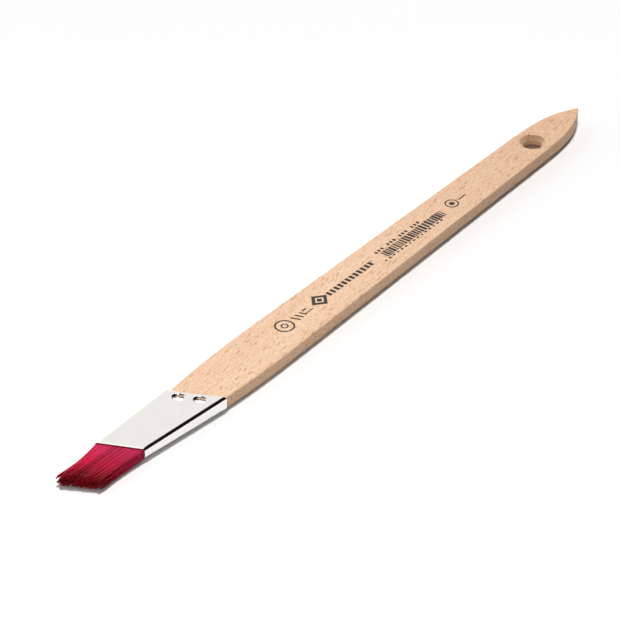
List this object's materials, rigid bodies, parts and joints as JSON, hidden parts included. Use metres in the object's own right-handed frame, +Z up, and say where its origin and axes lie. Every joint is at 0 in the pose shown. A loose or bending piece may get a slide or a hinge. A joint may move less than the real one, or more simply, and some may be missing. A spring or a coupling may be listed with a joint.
{
  "type": "slanted flat brush",
  "caption": "Slanted flat brush: long pointed beech handle with a hanging hole, skewed sheet-metal ferrule and a short block of crimson filaments.",
  "frame": {"origin": "centre of the bounding box in plan, on the surface the brush lies on", "axes": "+X along the brush towards the filaments, +Y towards the short side of the slanted ferrule, +Z up out of the broad face"},
  "size_m": [0.3282, 0.0229, 0.0061],
  "materials": {
    "beech": "raw sanded beech, no varnish",
    "nickel_plate": "bright nickel-plated sheet",
    "resin": "cast amber resin",
    "strip": "plain strip",
    "filament": "crimson synthetic filament, semi-gloss",
    "ink": "stamped black-brown ink"
  },
  "bodies": {
    "brush": {"handle": "beech", "ferrule": "nickel_plate", "resin_set": "resin", "spacer_strip": "strip", "filament_roots_upper": "filament", "filament_roots_lower": "filament"},
    "tuft": {"tuft_upper": "filament", "tuft_lower": "filament"}
  },
  "joints": [
    {"name": "tuft_flex", "type": "hinge", "parent": "brush", "child": "tuft", "pos_m": [0.1358, 0, 0.00303], "axis": [0.3907, -0.9205, 0], "range_deg": [-30, 30], "stiffness_Nm_per_rad": 0.025}
  ]
}
